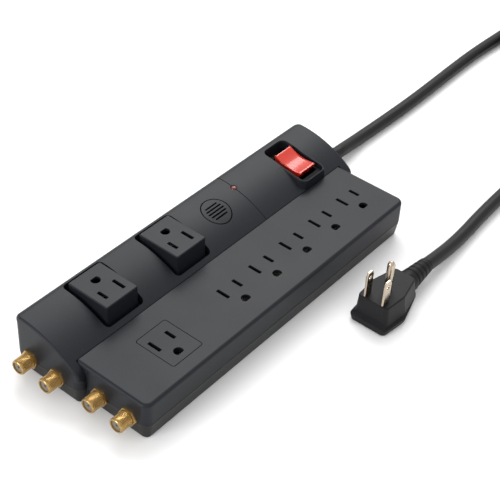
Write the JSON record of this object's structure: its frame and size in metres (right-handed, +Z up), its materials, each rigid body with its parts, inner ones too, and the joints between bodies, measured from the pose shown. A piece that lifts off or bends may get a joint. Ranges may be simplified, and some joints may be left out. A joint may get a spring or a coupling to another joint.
{
  "type": "surge protector power strip",
  "caption": "Long surge protector strip: flat half with a row of outlets, arched half with raised outlets, rocker switch, coaxial jacks, cord and flat plug.",
  "frame": {"origin": "bottom centre of the strip, without its cord, on the surface it lies on", "axes": "+Y along the strip from the jacks towards the cord, +Z up, +X towards the flat half"},
  "size_m": [0.148, 0.6086, 0.041],
  "materials": {
    "base_plastic": "satin moulded ABS",
    "cover_plastic": "satin moulded ABS",
    "screw_steel": "zinc plated",
    "carrier_plastic": "moulded",
    "contact_brass": "rolled strip",
    "switch_black": "gloss",
    "rocker_red": "gloss, translucent",
    "lamp_glass": "clear",
    "spring_steel": "drawn wire",
    "circuit_board": "solder mask",
    "varistor_blue": "dipped epoxy",
    "fuse_cream": "moulded",
    "capacitor_yellow": "moulded box",
    "choke_copper": "enamelled copper",
    "buzzer_black": "moulded",
    "led_red": "clear red",
    "tube_ceramic": "ceramic with metal ends",
    "jack_gold": "gold flashed",
    "jack_insulator": "moulded",
    "wire_black": "PVC",
    "wire_white": "PVC",
    "wire_green": "PVC",
    "cord_black": "satin PVC jacket",
    "relief_black": "satin PVC",
    "tie_black": "PVC tie",
    "plug_black": "satin moulded PVC",
    "blade_nickel": "nickel plated"
  },
  "bodies": {
    "strip": {"base_shell": "base_plastic", "deck_cover": "cover_plastic", "pod_cover_front": "cover_plastic", "pod_cover_rear": "cover_plastic", "cover_screws": "screw_steel", "outlet_block_front": "cover_plastic", "outlet_block_rear": "cover_plastic", "outlet_insert": "cover_plastic", "deck_contact_carrier": "carrier_plastic", "deck_neutral_bar": "contact_brass", "deck_hot_bar": "contact_brass", "deck_ground_bar": "contact_brass", "pod_contact_carrier": "carrier_plastic", "pod_neutral_bar": "contact_brass", "pod_hot_bar": "contact_brass", "pod_ground_bar": "contact_brass", "switch_housing": "switch_black", "switch_terminals": "contact_brass", "power_board": "circuit_board", "varistors": "varistor_blue", "thermal_fuse": "fuse_cream", "line_capacitor": "capacitor_yellow", "line_choke": "choke_copper", "alarm_buzzer": "buzzer_black", "indicator_led": "led_red", "indicator_lens": "led_red", "coax_board_left": "circuit_board", "coax_board_right": "circuit_board", "surge_tubes": "tube_ceramic", "jack_bodies": "jack_gold", "jack_nuts": "jack_gold", "jack_insulators": "jack_insulator", "jack_contacts": "jack_gold", "hot_wire": "wire_black", "neutral_wire": "wire_white", "ground_wire": "wire_green", "strain_relief": "relief_black", "cord_lead": "cord_black", "cord_coil": "cord_black", "coil_tie": "tie_black", "cord_tail": "cord_black", "plug_body": "plug_black", "plug_hot_blade": "blade_nickel", "plug_neutral_blade": "blade_nickel", "plug_ground_pin": "blade_nickel"},
    "rocker_body": {"rocker": "rocker_red", "rocker_lamp": "lamp_glass", "plunger": "carrier_plastic", "plunger_spring": "spring_steel"},
    "arm_body": {"contact_arm": "contact_brass"}
  },
  "joints": [
    {"name": "rocker_tilt", "type": "hinge", "parent": "strip", "child": "rocker_body", "pos_m": [-0.02315, 0.09775, 0.0304], "axis": [0, 1, 0], "range_deg": [-20, 0]},
    {"name": "contact_arm_tilt", "type": "hinge", "parent": "strip", "child": "arm_body", "pos_m": [-0.02315, 0.09775, 0.0205], "axis": [0, 1, 0], "range_deg": [0, 10]}
  ],
  "couplings": [
    {"joint": "contact_arm_tilt", "follows": "rocker_tilt", "ratio": -0.5}
  ]
}
